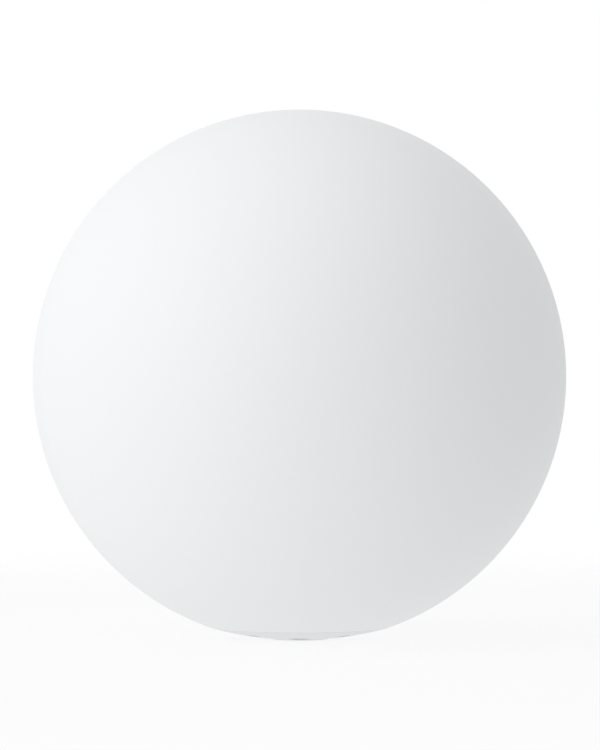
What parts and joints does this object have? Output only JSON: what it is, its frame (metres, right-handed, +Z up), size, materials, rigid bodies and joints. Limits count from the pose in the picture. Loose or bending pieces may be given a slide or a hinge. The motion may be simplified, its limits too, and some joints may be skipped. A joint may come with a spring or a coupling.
{
  "type": "floating pool light",
  "caption": "Milky white globe light that floats on a pool or stands on a small round base, which unscrews and holds the battery, button, charging port and hanging bail.",
  "frame": {"origin": "middle of the ring that the light stands on", "axes": "+Z up through the globe's middle, +Y towards the charging port"},
  "size_m": [0.3, 0.3, 0.2979],
  "materials": {
    "milky_polyethylene": "satin, translucent",
    "white_plastic": "fine texture",
    "frosted_plastic": "frosted",
    "grey_silicone": "matt",
    "stainless_steel": "bright drawn",
    "zinc_plate": "zinc plated",
    "circuit_board": "solder mask",
    "white_board": "white solder mask",
    "black_plastic": "moulded",
    "cell_wrap": "shrink sleeve",
    "nickel": "nickel plated",
    "led_phosphor": "clear over yellow phosphor",
    "red_wire": "satin",
    "grey_wire": "satin"
  },
  "bodies": {
    "base": {"base_cover": "white_plastic", "cover_seal": "grey_silicone", "threaded_cup": "white_plastic", "cover_screw_1": "stainless_steel", "cover_screw_2": "stainless_steel", "cover_screw_3": "stainless_steel", "cover_screw_4": "stainless_steel", "ballast_ring": "zinc_plate", "ballast_screw_1": "stainless_steel", "ballast_screw_2": "stainless_steel", "ballast_screw_3": "stainless_steel", "ballast_screw_4": "stainless_steel", "button_seal": "grey_silicone", "control_board": "circuit_board", "board_screw_1": "stainless_steel", "board_screw_2": "stainless_steel", "board_screw_3": "stainless_steel", "charge_jack": "black_plastic", "jack_pin": "nickel", "tact_switch": "black_plastic", "battery_cell_1": "cell_wrap", "battery_cell_2": "cell_wrap", "battery_cradle": "black_plastic", "battery_strap": "black_plastic", "battery_tab_1": "nickel", "battery_tab_2": "nickel", "battery_lead_plus": "red_wire", "battery_lead_minus": "black_plastic", "cradle_screw_1": "stainless_steel", "cradle_screw_2": "stainless_steel", "led_board": "white_board", "led_board_screw_1": "stainless_steel", "led_board_screw_2": "stainless_steel", "led_board_screw_3": "stainless_steel", "led_lead": "grey_wire", "led_1": "led_phosphor", "led_2": "led_phosphor", "led_3": "led_phosphor", "led_4": "led_phosphor", "led_5": "led_phosphor", "led_6": "led_phosphor", "led_7": "led_phosphor", "led_8": "led_phosphor", "remote_receiver": "black_plastic", "diffuser_dome": "frosted_plastic", "dome_seal": "grey_silicone"},
    "globe_seat_seal": {"globe_seal": "grey_silicone"},
    "globe_shell": {"globe": "milky_polyethylene"},
    "button": {"power_button": "grey_silicone", "switch_plunger": "nickel"},
    "flap": {"port_flap": "grey_silicone"},
    "bail": {"hang_ring": "stainless_steel"}
  },
  "joints": [
    {"name": "globe_rise", "type": "slide", "parent": "base", "child": "globe_seat_seal", "axis": [0, 0, 1], "range_m": [0, 0.012]},
    {"name": "globe_twist", "type": "hinge", "parent": "globe_seat_seal", "child": "globe_shell", "pos_m": [0, 0, 0.0147], "axis": [0, 0, 1], "range_deg": [0, 540]},
    {"name": "button_press", "type": "slide", "parent": "base", "child": "button", "axis": [0, 0, 1], "range_m": [0, 0.001], "stiffness_N_per_m": 1200, "springref_m": -0.0005},
    {"name": "flap_hinge", "type": "hinge", "parent": "base", "child": "flap", "pos_m": [0, 0.0435, 0.00512], "axis": [1, 0, 0], "range_deg": [0, 110]},
    {"name": "bail_hinge", "type": "hinge", "parent": "base", "child": "bail", "pos_m": [0, 0, 0.00336], "axis": [1, 0, 0], "range_deg": [0, 180]}
  ],
  "couplings": [
    {"joint": "globe_rise", "follows": "globe_twist", "m_per_rad": 0.0012732}
  ]
}
